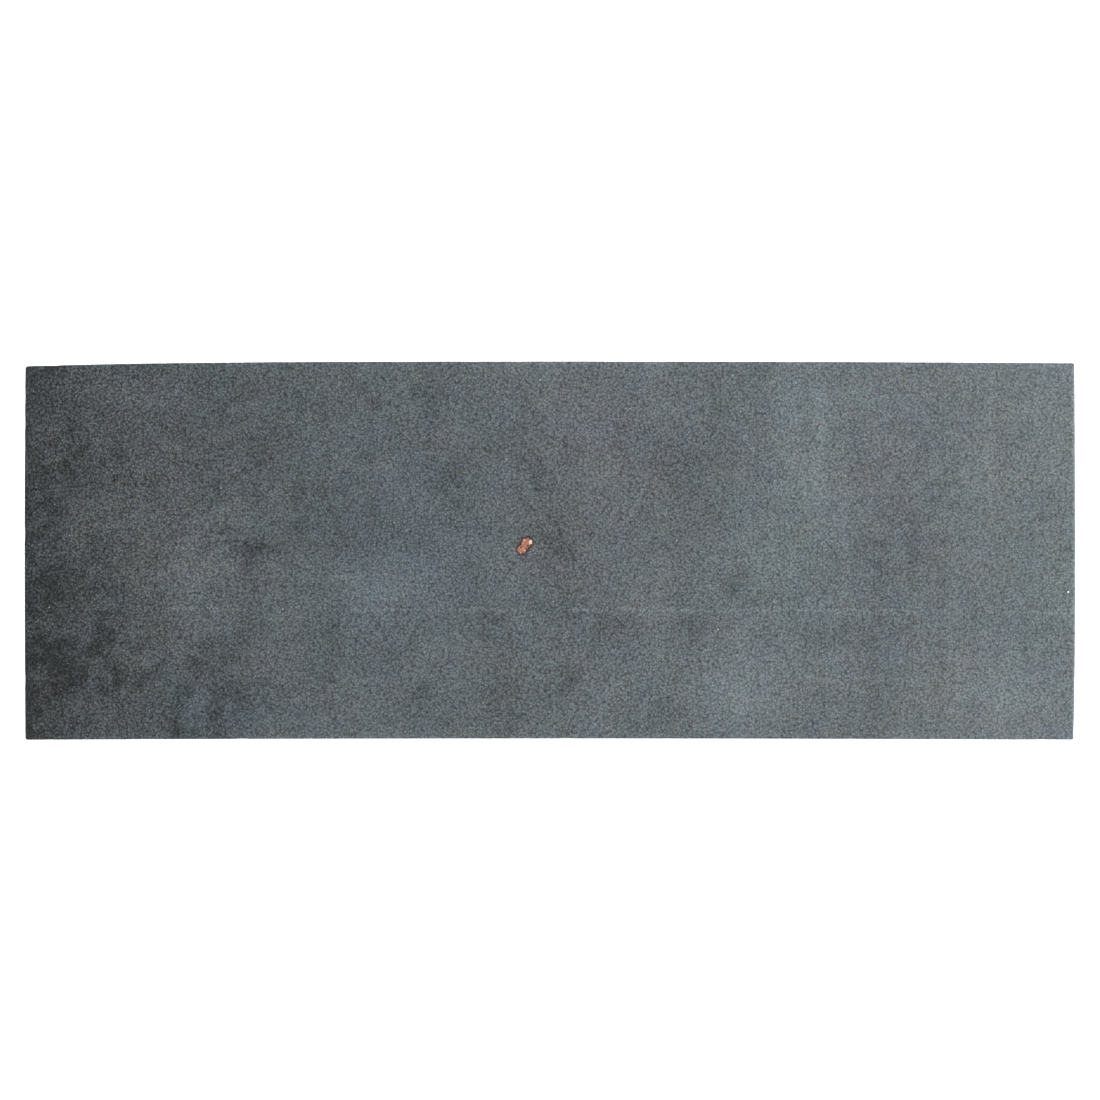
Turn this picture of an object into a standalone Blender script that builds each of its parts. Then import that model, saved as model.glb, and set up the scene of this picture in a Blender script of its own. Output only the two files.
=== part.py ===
# A granite slab for tooling, skiving and setting leather on. One sawn and honed stone, with a
# feldspar inclusion in its top face, stands on four self-adhesive rubber feet.
#
# Metres, +Z up. The origin is on the plane that the feet stand on, under the middle of the slab.
# +X runs along the slab to its right end, and -Y is its front.

import math

import bmesh
import bpy
from mathutils import Matrix, Vector

INCH = 0.0254
GAP = 0.0003  # kept between two pieces that touch

# The stone
SLAB_LENGTH = 14 * INCH
SLAB_WIDTH = 0.1282
SLAB_THICKNESS = 0.030
ARRIS_WIDTH = 0.0008  # the eased edge, all round the stone
ARRIS_STEPS = 3
LONG_EDGE_STEPS = 12
SHORT_EDGE_STEPS = 6

# Saw cuts aren't quite straight. A bow above zero falls away at both ends of its edge, a bow
# below zero is hollow in the middle, and a taper falls away at the edge's -X or -Y end alone.
FRONT_BOW = -0.00044
BACK_BOW = 0.00055
BACK_TAPER = 0.0011
LEFT_BOW = 0.00025
RIGHT_BOW = 0.00025
RIGHT_TAPER = 0.0004
TAPER_POWER = 4

# The inclusion: two lobes of feldspar, long and narrow, ground flush with the top face
INCLUSION_X = -0.0086
INCLUSION_Y = 0.0017
INCLUSION_TURN = math.radians(54)
INCLUSION_LENGTH = 0.0066
INCLUSION_WIDTH = 0.0034
INCLUSION_DEPTH = 0.0024
INCLUSION_WAIST = 0.10  # how far the waist between the lobes is drawn in, as a share of the radius
INCLUSION_SINK = 0.00005
INCLUSION_SIDES = 24
INCLUSION_RINGS = 6

# The feet: turned shapes, with a foam adhesive disc between each foot and the stone
FOOT_RADIUS = 0.0100
FOOT_SOLE_RADIUS = 0.0088
FOOT_HEIGHT = 0.0050
FOOT_LAND = 0.0008  # the upright band under the foot's top face
FOOT_ROUNDING = 0.0008
FOOT_ROUNDING_STEPS = 4
FOOT_RECESS_RADIUS = 0.0040
FOOT_RECESS_DEPTH = 0.0006
FOOT_SIDES = 48
FOOT_END_INSET = 0.026  # from the slab's end to a foot's centre
FOOT_SIDE_INSET = 0.022  # from the slab's long side to a foot's centre
ADHESIVE_RADIUS = 0.0092
ADHESIVE_THICKNESS = 0.0008

ADHESIVE_BOTTOM = FOOT_HEIGHT + GAP
SLAB_BOTTOM = ADHESIVE_BOTTOM + ADHESIVE_THICKNESS + GAP
SLAB_TOP = SLAB_BOTTOM + SLAB_THICKNESS


def clear_scene():
    for obj in list(bpy.data.objects):
        bpy.data.objects.remove(obj)


def material(name, colour, roughness, metallic=0.0):
    made = bpy.data.materials.new(name)
    made.use_nodes = True
    made.diffuse_color = (*colour, 1.0)
    shader = made.node_tree.nodes["Principled BSDF"]
    shader.inputs["Base Color"].default_value = (*colour, 1.0)
    shader.inputs["Roughness"].default_value = roughness
    shader.inputs["Metallic"].default_value = metallic
    return made


def mesh_from(bm, name):
    bmesh.ops.recalc_face_normals(bm, faces=bm.faces)
    mesh = bpy.data.meshes.new(name)
    bm.to_mesh(mesh)
    bm.free()
    return mesh


def add_object(name, mesh, look=None, location=(0.0, 0.0, 0.0), parent=None):
    obj = bpy.data.objects.new(name, mesh)
    obj.location = location
    obj.parent = parent
    bpy.context.scene.collection.objects.link(obj)
    if look:
        obj.data.materials.append(look)
    return obj


def inward(along, bow, taper=0.0):
    """How far an edge lies inside the slab's full size, at -1 to 1 along the edge."""
    hollow = max(0.0, -bow)
    return hollow + bow * along**2 + taper * max(0.0, -along) ** TAPER_POWER


def sawn_point(u, v):
    """A point of the slab's plan, at -1 to 1 along its length and across its width."""
    left = inward(v, LEFT_BOW)
    right = inward(v, RIGHT_BOW, RIGHT_TAPER)
    front = inward(u, FRONT_BOW)
    back = inward(u, BACK_BOW, BACK_TAPER)
    x = u * SLAB_LENGTH / 2 + left * (1 - u) / 2 - right * (1 + u) / 2
    y = v * SLAB_WIDTH / 2 + front * (1 - v) / 2 - back * (1 + v) / 2
    return x, y


def slab_outline():
    """The plan's points, anticlockwise from the front left corner."""
    along = [2 * i / LONG_EDGE_STEPS - 1 for i in range(LONG_EDGE_STEPS)]
    across = [2 * i / SHORT_EDGE_STEPS - 1 for i in range(SHORT_EDGE_STEPS)]
    front = [sawn_point(u, -1) for u in along]
    right = [sawn_point(1, v) for v in across]
    back = [sawn_point(-u, 1) for u in along]
    left = [sawn_point(-1, -v) for v in across]
    return front + right + back + left


def slab_mesh():
    bm = bmesh.new()
    outline = slab_outline()
    underside = bm.faces.new([bm.verts.new((x, y, 0.0)) for x, y in outline])
    raised = bmesh.ops.extrude_face_region(bm, geom=[underside])["geom"]
    top = [item for item in raised if isinstance(item, bmesh.types.BMVert)]
    bmesh.ops.translate(bm, vec=(0, 0, SLAB_THICKNESS), verts=top)
    return mesh_from(bm, "stone_slab")


def lobed_radius(turn, grow):
    """The inclusion's plan: an ellipse with a waist drawn in across its short axis."""
    long = INCLUSION_LENGTH / 2 + grow
    short = INCLUSION_WIDTH / 2 + grow
    ellipse = long * short / math.hypot(short * math.cos(turn), long * math.sin(turn))
    return ellipse * (1 - INCLUSION_WAIST * math.sin(turn) ** 8)


def bowl_mesh(name, grow, top):
    """The inclusion's rounded body with a flat face at the height top, grown by grow all round."""
    bm = bmesh.new()
    turns = [2 * math.pi * i / INCLUSION_SIDES for i in range(INCLUSION_SIDES)]
    rings = []
    if top > 0:
        rings.append((1.0, top))
    for i in range(INCLUSION_RINGS):
        dip = math.pi / 2 * i / INCLUSION_RINGS
        level = min(0.0, top) - (INCLUSION_DEPTH + grow) * math.sin(dip)
        rings.append((math.cos(dip), level))
    loops = []
    for share, level in rings:
        radii = [lobed_radius(turn, grow) * share for turn in turns]
        places = [(r * math.cos(a), r * math.sin(a), level) for r, a in zip(radii, turns)]
        loops.append([bm.verts.new(place) for place in places])
    bm.faces.new(loops[0])
    for upper, lower in zip(loops, loops[1:]):
        for i in range(INCLUSION_SIDES):
            after = (i + 1) % INCLUSION_SIDES
            bm.faces.new((upper[i], lower[i], lower[after], upper[after]))
    deepest = bm.verts.new((0, 0, min(0.0, top) - INCLUSION_DEPTH - grow))
    for i in range(INCLUSION_SIDES):
        bm.faces.new((loops[-1][i], deepest, loops[-1][(i + 1) % INCLUSION_SIDES]))
    bmesh.ops.rotate(bm, matrix=Matrix.Rotation(INCLUSION_TURN, 3, "Z"), verts=bm.verts)
    return mesh_from(bm, name)


def turned_mesh(name, profile, sides):
    """A solid of revolution about Z. The profile is a list of (radius, height) pairs from axis to axis."""
    bm = bmesh.new()
    verts = [bm.verts.new((radius, 0.0, height)) for radius, height in profile]
    edges = [bm.edges.new(pair) for pair in zip(verts, verts[1:])]
    bmesh.ops.spin(
        bm,
        geom=verts + edges,
        cent=(0, 0, 0),
        axis=(0, 0, 1),
        angle=2 * math.pi,
        steps=sides,
        use_merge=True,
    )
    bmesh.ops.remove_doubles(bm, verts=bm.verts, dist=1e-6)
    mesh = mesh_from(bm, name)
    mesh.shade_smooth()
    mesh.set_sharp_from_angle(angle=math.radians(35))
    return mesh


def foot_mesh():
    """The foot stands on z = 0: a recessed sole, a rounded rim, a drafted side and a flat top."""
    profile = [(0.0, FOOT_RECESS_DEPTH), (FOOT_RECESS_RADIUS, FOOT_RECESS_DEPTH)]
    profile.append((FOOT_RECESS_RADIUS + FOOT_RECESS_DEPTH, 0.0))
    centre = Vector((FOOT_SOLE_RADIUS - FOOT_ROUNDING, FOOT_ROUNDING))
    for i in range(FOOT_ROUNDING_STEPS + 1):
        turn = math.pi / 2 * (i / FOOT_ROUNDING_STEPS - 1)
        profile.append(tuple(centre + FOOT_ROUNDING * Vector((math.cos(turn), math.sin(turn)))))
    profile.append((FOOT_RADIUS, FOOT_HEIGHT - FOOT_LAND))
    profile.append((FOOT_RADIUS, FOOT_HEIGHT))
    profile.append((0.0, FOOT_HEIGHT))
    return turned_mesh("foot", profile, FOOT_SIDES)


def adhesive_mesh():
    edge = [(ADHESIVE_RADIUS, 0.0), (ADHESIVE_RADIUS, ADHESIVE_THICKNESS)]
    profile = [(0.0, 0.0), *edge, (0.0, ADHESIVE_THICKNESS)]
    return turned_mesh("adhesive_disc", profile, FOOT_SIDES)


def build_stone():
    granite = material("granite", (0.120, 0.136, 0.147), 0.55)
    feldspar = material("feldspar", (0.52, 0.22, 0.13), 0.45)

    stone = add_object("stone_slab", slab_mesh(), granite, (0, 0, SLAB_BOTTOM))
    arris = stone.modifiers.new("arris", "BEVEL")
    arris.width = ARRIS_WIDTH
    arris.segments = ARRIS_STEPS
    arris.limit_method = "ANGLE"
    arris.angle_limit = math.radians(40)

    inclusion_place = (INCLUSION_X, INCLUSION_Y, SLAB_TOP)
    cutter_mesh = bowl_mesh("pocket_cutter", GAP, top=0.001)
    cutter = add_object("pocket_cutter", cutter_mesh, location=inclusion_place)
    cutter.hide_render = True
    cutter.display_type = "WIRE"
    pocket = stone.modifiers.new("pocket", "BOOLEAN")
    pocket.operation = "DIFFERENCE"
    pocket.solver = "EXACT"
    pocket.object = cutter

    body = bowl_mesh("feldspar_inclusion", 0.0, top=-INCLUSION_SINK)
    add_object("feldspar_inclusion", body, feldspar, inclusion_place)


def build_feet():
    rubber = material("rubber", (0.018, 0.018, 0.019), 0.8)
    foam = material("adhesive_foam", (0.62, 0.62, 0.60), 0.7)
    foot = foot_mesh()
    disc = adhesive_mesh()
    foot.materials.append(rubber)
    disc.materials.append(foam)
    x = SLAB_LENGTH / 2 - FOOT_END_INSET
    y = SLAB_WIDTH / 2 - FOOT_SIDE_INSET
    for row, side_y in (("front", -y), ("back", y)):
        for end, side_x in (("left", -x), ("right", x)):
            corner = add_object(f"corner_{row}_{end}", None, location=(side_x, side_y, 0))
            add_object(f"foot_{row}_{end}", foot, parent=corner)
            above_foot = (0, 0, ADHESIVE_BOTTOM)
            add_object(f"adhesive_{row}_{end}", disc, location=above_foot, parent=corner)


clear_scene()
build_stone()
build_feet()
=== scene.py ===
# A granite slab for leatherwork: the looks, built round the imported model.
# Lengths are in metres. Materials, clouds, saw marks and chips are worked out in millimetres.

import math

import bmesh
import bpy
from mathutils import Matrix, Vector


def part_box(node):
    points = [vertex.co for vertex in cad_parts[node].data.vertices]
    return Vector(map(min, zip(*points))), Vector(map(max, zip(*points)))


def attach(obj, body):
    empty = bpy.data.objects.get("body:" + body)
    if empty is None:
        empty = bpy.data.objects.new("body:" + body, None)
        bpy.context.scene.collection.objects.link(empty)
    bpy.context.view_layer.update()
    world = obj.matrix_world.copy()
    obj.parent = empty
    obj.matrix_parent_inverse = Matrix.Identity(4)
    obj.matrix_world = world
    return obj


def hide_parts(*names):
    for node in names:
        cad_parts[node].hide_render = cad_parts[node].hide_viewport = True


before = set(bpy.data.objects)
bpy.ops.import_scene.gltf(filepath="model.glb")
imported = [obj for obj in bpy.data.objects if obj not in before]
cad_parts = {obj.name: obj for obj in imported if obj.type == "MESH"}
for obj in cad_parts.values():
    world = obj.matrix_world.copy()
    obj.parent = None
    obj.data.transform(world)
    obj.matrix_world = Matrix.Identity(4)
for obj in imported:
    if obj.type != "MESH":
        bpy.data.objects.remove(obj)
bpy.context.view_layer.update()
mm = 0.001
print("frame loaded:", len(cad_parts), "nodes")


class Wire:
    # an output socket that takes part in arithmetic: each operation adds a Math node

    def __init__(self, graph, socket):
        self.graph = graph
        self.socket = socket

    def out(self, name):  # another output of the same node
        return Wire(self.graph, self.socket.node.outputs[name])

    def __add__(self, other):
        return self.graph.maths("ADD", self, other)

    def __radd__(self, other):
        return self.graph.maths("ADD", other, self)

    def __sub__(self, other):
        return self.graph.maths("SUBTRACT", self, other)

    def __rsub__(self, other):
        return self.graph.maths("SUBTRACT", other, self)

    def __mul__(self, other):
        return self.graph.maths("MULTIPLY", self, other)

    def __rmul__(self, other):
        return self.graph.maths("MULTIPLY", other, self)

    def __truediv__(self, other):
        return self.graph.maths("DIVIDE", self, other)

    def __rtruediv__(self, other):
        return self.graph.maths("DIVIDE", other, self)

    def __pow__(self, other):
        return self.graph.maths("POWER", self, other)


class Graph:
    # a shader or geometry tree, with a method for each kind of node that is used often

    def __init__(self, tree):
        self.tree = tree

    def add(self, kind, settings=None, values=None, out=0):
        node = self.tree.nodes.new(kind)
        for name, value in (settings or {}).items():
            if name == "stops":
                setStops(node.color_ramp, value)
            else:
                setattr(node, name, value)
        for name, value in (values or {}).items():
            if isinstance(value, Wire):
                self.tree.links.new(value.socket, node.inputs[name])
            else:
                node.inputs[name].default_value = value
        return Wire(self, node.outputs[out]) if len(node.outputs) else node

    def maths(self, operation, *values):
        return self.add("ShaderNodeMath", {"operation": operation}, dict(enumerate(values)))

    def vector(self, operation, *values, out=0):
        return self.add("ShaderNodeVectorMath", {"operation": operation}, dict(enumerate(values)), out)

    def scaled(self, vector, factor):
        return self.add("ShaderNodeVectorMath", {"operation": "SCALE"}, {0: vector, "Scale": factor})

    def join(self, x, y, z):
        return self.add("ShaderNodeCombineXYZ", None, {0: x, 1: y, 2: z})

    def split(self, vector):
        parts = self.add("ShaderNodeSeparateXYZ", None, {0: vector})
        return parts, parts.out("Y"), parts.out("Z")

    def ease(self, value, start, end, low=0.0, high=1.0, way="SMOOTHSTEP"):
        limits = {"Value": value, "From Min": start, "From Max": end, "To Min": low, "To Max": high}
        return self.add("ShaderNodeMapRange", {"interpolation_type": way}, limits)

    def noise(self, vector, sizeMm, detail=2.0, roughness=0.5, out=0):
        values = {"Vector": vector, "Scale": 1 / sizeMm, "Detail": detail, "Roughness": roughness}
        return self.add("ShaderNodeTexNoise", None, values, out)

    def cells(self, vector, sizeMm, out="Color"):
        return self.add("ShaderNodeTexVoronoi", None, {"Vector": vector, "Scale": 1 / sizeMm}, out)

    def ramp(self, value, stops):
        return self.add("ShaderNodeValToRGB", {"stops": stops}, {"Fac": value})

    def mix(self, share, first, second, blend="MIX"):
        settings = {"data_type": "RGBA", "blend_type": blend}
        return self.add("ShaderNodeMix", settings, {0: share, 6: first, 7: second}, 2)


def setStops(ramp, stops):
    while len(ramp.elements) < len(stops):
        ramp.elements.new(1.0)
    for element, (place, colour) in zip(ramp.elements, stops):
        element.position = place
        element.color = rgba(colour)


def rgba(colour):
    return (colour, colour, colour, 1.0) if isinstance(colour, float) else (*colour, 1.0)


def display(red, green, blue):  # a colour as it shows on a screen, 0 to 255, turned linear
    return tuple(((c / 255 + 0.055) / 1.055) ** 2.4 for c in (red, green, blue))


def newMaterial(name):
    material = bpy.data.materials.new(name)
    material.use_nodes = True
    material.node_tree.nodes.clear()
    return material, Graph(material.node_tree)


def finishMaterial(graph, values):
    shader = graph.add("ShaderNodeBsdfPrincipled", None, values)
    graph.add("ShaderNodeOutputMaterial", None, {"Surface": shader})


def placeInMm(graph):
    return graph.scaled(graph.add("ShaderNodeTexCoord", out="Object"), 1 / mm)


def bumped(graph, heightMm, strength=1.0):
    return graph.add("ShaderNodeBump", None, {"Height": heightMm, "Distance": mm, "Strength": strength})


def newPiece(name, mesh):
    piece = bpy.data.objects.new(name, mesh)
    bpy.context.scene.collection.objects.link(piece)
    return piece


def plainMesh(piece):  # the piece as its modifiers leave it, with the modifiers gone
    graph = bpy.context.evaluated_depsgraph_get()
    mesh = bpy.data.meshes.new_from_object(piece.evaluated_get(graph), depsgraph=graph)
    piece.modifiers.clear()
    piece.data = mesh
    return mesh


def geometryGraph(name, sizes):
    tree = bpy.data.node_groups.new(name, "GeometryNodeTree")
    tree.interface.new_socket(name="Geometry", in_out="INPUT", socket_type="NodeSocketGeometry")
    for label, value in sizes.items():
        kind = "NodeSocketInt" if isinstance(value, int) else "NodeSocketFloat"
        tree.interface.new_socket(name=label, in_out="INPUT", socket_type=kind)
    tree.interface.new_socket(name="Material", in_out="INPUT", socket_type="NodeSocketMaterial")
    tree.interface.new_socket(name="Geometry", in_out="OUTPUT", socket_type="NodeSocketGeometry")
    return Graph(tree)


def endGeometry(graph, geometry, given):
    solid = graph.add("GeometryNodeRealizeInstances", None, {"Geometry": geometry})
    finish = {"Geometry": solid, "Material": given.out("Material")}
    graph.add("NodeGroupOutput", None, {"Geometry": graph.add("GeometryNodeSetMaterial", None, finish)})


def runGeometry(piece, graph, sizes, material):
    modifier = piece.modifiers.new(graph.tree.name, "NODES")
    modifier.node_group = graph.tree
    values = {**sizes, "Material": material}
    for socket in graph.tree.interface.items_tree:
        if socket.in_out == "INPUT" and socket.name in values:
            modifier[socket.identifier] = values[socket.name]


# The stone's own box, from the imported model
stoneLow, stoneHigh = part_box("stone_slab")
stoneTop = stoneHigh.z
stoneBottom = stoneLow.z
stoneTopMm = stoneTop / mm
stoneBottomMm = stoneBottom / mm
stoneHalfMm = [side / 2 / mm for side in stoneHigh - stoneLow]
stoneMiddleMm = (stoneTopMm + stoneBottomMm) / 2

# Camera: straight above, with the slab's length across most of the view
cameraView = {
    "lensMm": 100.0,
    "sensorMm": 36.0,
    "slabShare": 0.9562,  # of the view's width
    "aim": (0.0, 0.0002),
}


def makeCamera():
    width = (stoneHigh.x - stoneLow.x) / cameraView["slabShare"]
    lens = bpy.data.cameras.new("camera")
    lens.lens = cameraView["lensMm"]
    lens.sensor_width = cameraView["sensorMm"]
    lens.clip_start = 0.01
    camera = bpy.data.objects.new("camera", lens)
    height = stoneTop + width * cameraView["lensMm"] / cameraView["sensorMm"]
    camera.location = (*cameraView["aim"], height)
    bpy.context.scene.collection.objects.link(camera)
    bpy.context.scene.camera = camera


makeCamera()
print("camera placed")

# Light: a soft white room, two softboxes, and a background light that falls on the floor alone
studio = {
    "roomLight": 0.60,
    "rightBox": {"place": (0.78, 0.20, 0.62), "size": 0.55, "watts": 12.0},
    "leftBox": {"place": (-0.75, -0.55, 0.95), "size": 0.8, "watts": 4.5},
    "backdropSun": 3.2,
    "backdropSunAngle": 6.0,  # degrees
    "floorSize": 12.0,
    "floorColour": (0.90, 0.90, 0.90),
}


def makeRoom():
    world = bpy.data.worlds.new("studio")
    world.use_nodes = True
    world.node_tree.nodes.clear()
    graph = Graph(world.node_tree)
    light = {"Color": rgba(1.0), "Strength": studio["roomLight"]}
    dim = graph.add("ShaderNodeBackground", None, light)
    white = graph.add("ShaderNodeBackground", None, {"Color": rgba(1.0), "Strength": 1.0})
    seen = graph.add("ShaderNodeLightPath", out="Is Camera Ray")
    shown = graph.add("ShaderNodeMixShader", None, {0: seen, 1: dim, 2: white})
    graph.add("ShaderNodeOutputWorld", None, {"Surface": shown})
    bpy.context.scene.world = world
    bpy.context.scene.view_settings.view_transform = "Standard"


def makeSoftbox(name, place, size, watts):
    light = bpy.data.lights.new(name, "AREA")
    light.size = size
    light.energy = watts
    box = bpy.data.objects.new(name, light)
    box.location = place
    box.rotation_euler = (-Vector(place)).to_track_quat("-Z", "Y").to_euler()
    box.visible_camera = False
    bpy.context.scene.collection.objects.link(box)


def makeFloor():
    half = studio["floorSize"] / 2
    mesh = bpy.data.meshes.new("floor")
    corners = [(-half, -half, 0), (half, -half, 0), (half, half, 0), (-half, half, 0)]
    mesh.from_pydata(corners, [], [(0, 1, 2, 3)])
    material, graph = newMaterial("paleFloor")
    finishMaterial(graph, {"Base Color": rgba(studio["floorColour"]), "Roughness": 0.9})
    mesh.materials.append(material)
    floor = newPiece("floor", mesh)

    sun = bpy.data.lights.new("backdropLight", "SUN")
    sun.energy = studio["backdropSun"]
    sun.angle = math.radians(studio["backdropSunAngle"])
    backdrop = bpy.data.objects.new("backdropLight", sun)
    bpy.context.scene.collection.objects.link(backdrop)
    floorOnly = bpy.data.collections.new("floorOnly")
    floorOnly.objects.link(floor)
    backdrop.light_linking.receiver_collection = floorOnly


makeRoom()
makeSoftbox("rightSoftbox", **studio["rightBox"])
makeSoftbox("leftSoftbox", **studio["leftBox"])
makeFloor()
print("studio lit")

# The inclusion: two lobes of feldspar and a cream grain beside them. Its outline is a blend of
# round lobes, and the stone's pocket follows it. Lobes, wells and steps are in mm from its middle.
grain = {
    "middle": (-0.0086, 0.0017),
    # lobes: x, y, radius
    "lobes": [
        (0.0, 0.0, 1.40),
        (0.45, 1.25, 1.50),
        (1.40, 1.65, 1.15),
        (2.10, 1.15, 0.78),
        (1.15, 0.25, 1.05),
        (-1.15, -1.35, 1.52),
        (-0.85, -1.75, 1.32),
        (-0.66, 0.40, 0.74),
        (0.48, -0.92, 0.74),
    ],
    "blend": 14,
    # ripples of the outline: how many go round, the turn, and the depth as a share of the radius
    "ripples": [(5, 0.7, 0.021), (9, 2.1, 0.0105), (14, 4.0, 0.00875)],
    "depth": 0.0024,
    "sink": 0.00005,  # its face below the stone's
    "gap": 0.00010,  # to the pocket's wall
    "rimStart": 0.93,  # where the face starts to fall off, as a share of the radius
    "rimDrop": 0.00012,
    "rimPinch": 0.012,
    "lip": 0.00025,  # from the face's plane to the top of the bowl
    "sides": 144,
    "faceRings": 36,
    "bowlRings": 8,
    # wells in the face: x, y, radius, depth
    "wells": [
        (-1.19, -0.64, 0.38, 0.30),
        (1.07, -0.11, 0.46, 0.34),
        (0.65, -1.40, 0.44, 0.22),
        (0.23, -1.08, 0.28, 0.18),
        (-0.76, 1.85, 0.30, 0.16),
        (-2.40, -0.55, 0.30, 0.18),
    ],
    # cleavage steps: x, y, drop, and the tilt in x and y
    "steps": [
        (-1.6, -2.2, 0.05, 0.03, -0.02),
        (-0.9, -1.5, 0.02, -0.02, 0.03),
        (-1.9, -1.2, 0.06, 0.04, 0.02),
        (-0.2, -0.6, 0.04, -0.03, -0.03),
        (-0.5, 0.7, 0.01, 0.02, 0.04),
        (0.6, 0.4, 0.05, -0.04, 0.01),
        (0.9, 1.3, 0.02, 0.03, -0.03),
        (0.2, 2.0, 0.06, 0.01, 0.05),
        (1.3, 2.1, 0.05, -0.02, -0.04),
        (2.0, 1.6, 0.00, 0.02, 0.02),
        (2.1, 0.8, 0.02, -0.03, 0.02),
    ],
}


def grainRadius(angle, grow):
    # from the middle to the outline, in metres; each lobe gives the far crossing of its circle
    toward = Vector((math.cos(angle), math.sin(angle)))
    total = 0.0
    for x, y, size in grain["lobes"]:
        centre = Vector((x, y))
        along = centre.dot(toward)
        aside = centre.length_squared - along**2
        if size**2 > aside:
            total += max(0.0, along + math.sqrt(size**2 - aside)) ** grain["blend"]
    ripple = sum(depth * math.sin(waves * angle + turn) for waves, turn, depth in grain["ripples"])
    return total ** (1 / grain["blend"]) * (1 + ripple) * mm + grow


def grainDrop(x, y):  # how far the face lies below its plane at a point, in metres
    xMm, yMm = x / mm, y / mm
    near = min(grain["steps"], key=lambda step: (xMm - step[0]) ** 2 + (yMm - step[1]) ** 2)
    drop = near[2] + near[3] * (xMm - near[0]) + near[4] * (yMm - near[1])
    for wellX, wellY, radius, depth in grain["wells"]:
        share = math.hypot(xMm - wellX, yMm - wellY) / radius
        if share < 1:
            drop += depth * (1 - share**2) ** 1.5
    return max(0.0, drop) * mm


def grainMesh(name, grow, top, shaped):
    # a bowl with a face on top; when shaped, the face has the wells and steps
    bm = bmesh.new()
    rim = bm.verts.layers.float.new("rim")  # how far in from the outline, in mm
    sides = grain["sides"]
    angles = [2 * math.pi * i / sides for i in range(sides)]
    radii = [grainRadius(angle, grow) for angle in angles]
    loops = []

    def addLoop(share, level, rimShare, face):
        loop = []
        for angle, radius in zip(angles, radii):
            x = radius * share * math.cos(angle)
            y = radius * share * math.sin(angle)
            drop = grainDrop(x, y) if shaped and face else 0.0
            vert = bm.verts.new((x, y, level - drop))
            vert[rim] = radius * (1 - rimShare) / mm
            loop.append(vert)
        loops.append(loop)

    faceRings = grain["faceRings"] if shaped else 1
    for i in range(1, faceRings + 1):
        share = i / faceRings
        edge = max(0.0, share - grain["rimStart"]) / (1 - grain["rimStart"]) if shaped else 0.0
        addLoop(share * (1 - grain["rimPinch"] * edge), top - grain["rimDrop"] * edge**2, share, True)
    depth = grain["depth"] + grow
    bowlTop = min(0.0, top) - (grain["lip"] if shaped else 0.0)
    for i in range(grain["bowlRings"]):
        dip = math.pi / 2 * i / grain["bowlRings"]
        addLoop(math.cos(dip), bowlTop - depth * math.sin(dip), 1.0, False)
    for upper, lower in zip(loops, loops[1:]):
        for i in range(sides):
            j = (i + 1) % sides
            bm.faces.new((upper[i], lower[i], lower[j], upper[j]))
    middle = bm.verts.new((0, 0, top - (grainDrop(0, 0) if shaped else 0.0)))
    bottom = bm.verts.new((0, 0, bowlTop - depth))
    for i in range(sides):
        j = (i + 1) % sides
        bm.faces.new((middle, loops[0][i], loops[0][j]))
        bm.faces.new((loops[-1][i], bottom, loops[-1][j]))
    bmesh.ops.recalc_face_normals(bm, faces=bm.faces)
    bmesh.ops.translate(bm, vec=(*grain["middle"], stoneTop), verts=bm.verts)
    mesh = bpy.data.meshes.new(name)
    bm.to_mesh(mesh)
    bm.free()
    return mesh


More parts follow.
